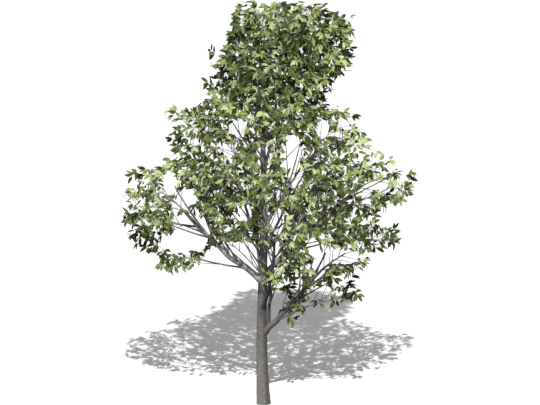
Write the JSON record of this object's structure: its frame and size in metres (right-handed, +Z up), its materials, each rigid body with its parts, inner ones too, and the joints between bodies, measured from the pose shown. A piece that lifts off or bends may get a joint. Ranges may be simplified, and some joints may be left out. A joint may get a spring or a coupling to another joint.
{
  "type": "hackberry tree",
  "caption": "Young hackberry tree in full leaf: slender tapering trunk with a flared foot, upswept boughs and an open oval crown of drooping, pointed leaves.",
  "frame": {"origin": "centre of the flat cut under the trunk, at ground level", "axes": "+Z up along the trunk, -Y towards the viewer of the picture, +X to the right in the picture"},
  "size_m": [3.6579, 2.9561, 5.1761],
  "materials": {
    "bark": "warm grey bark, finely fissured and matt",
    "bough_bark": "smoother grey bark, matt",
    "foliage": "mid green leaves with paler backs, slightly waxy"
  },
  "bodies": {
    "root": {"trunk": "bark", "bough_low_right": "bough_bark", "bough_low_right_side": "bough_bark", "bough_riser": "bough_bark", "bough_front": "bough_bark", "bough_low_left": "bough_bark", "bough_low_left_side": "bough_bark", "bough_back_low": "bough_bark", "bough_right": "bough_bark", "bough_right_low": "bough_bark", "bough_left_front": "bough_bark", "bough_left_back": "bough_bark", "bough_right_back": "bough_bark", "bough_right_front": "bough_bark", "bough_front_left": "bough_bark", "bough_upper_right": "bough_bark", "bough_upper_right_low": "bough_bark", "bough_left_upper": "bough_bark", "bough_upper_left": "bough_bark", "bough_back_high": "bough_bark", "bough_front_high": "bough_bark", "bough_left_high": "bough_bark", "bough_right_high": "bough_bark", "foliage_low_right": "foliage", "foliage_low_right_side": "foliage", "foliage_riser": "foliage", "foliage_front": "foliage", "foliage_front_fork": "foliage", "foliage_low_left": "foliage", "foliage_low_left_fork": "foliage", "foliage_low_left_side": "foliage", "foliage_back_low": "foliage", "foliage_back_low_fork": "foliage", "foliage_right": "foliage", "foliage_right_fork": "foliage", "foliage_right_low": "foliage", "foliage_left_front": "foliage", "foliage_left_back": "foliage", "foliage_right_back": "foliage", "foliage_right_front": "foliage", "foliage_front_left": "foliage", "foliage_front_left_fork": "foliage", "foliage_upper_right": "foliage", "foliage_upper_right_fork": "foliage", "foliage_upper_right_low": "foliage", "foliage_left_upper": "foliage", "foliage_upper_left": "foliage", "foliage_back_high": "foliage", "foliage_front_high": "foliage", "foliage_left_high": "foliage", "foliage_right_high": "foliage", "foliage_leader_1": "foliage", "foliage_leader_2": "foliage", "foliage_leader_3": "foliage", "foliage_leader_4": "foliage", "foliage_leader_5": "foliage", "foliage_leader_6": "foliage", "foliage_leader_7": "foliage", "foliage_leader_8": "foliage", "foliage_tip": "foliage"}
  },
  "joints": []
}
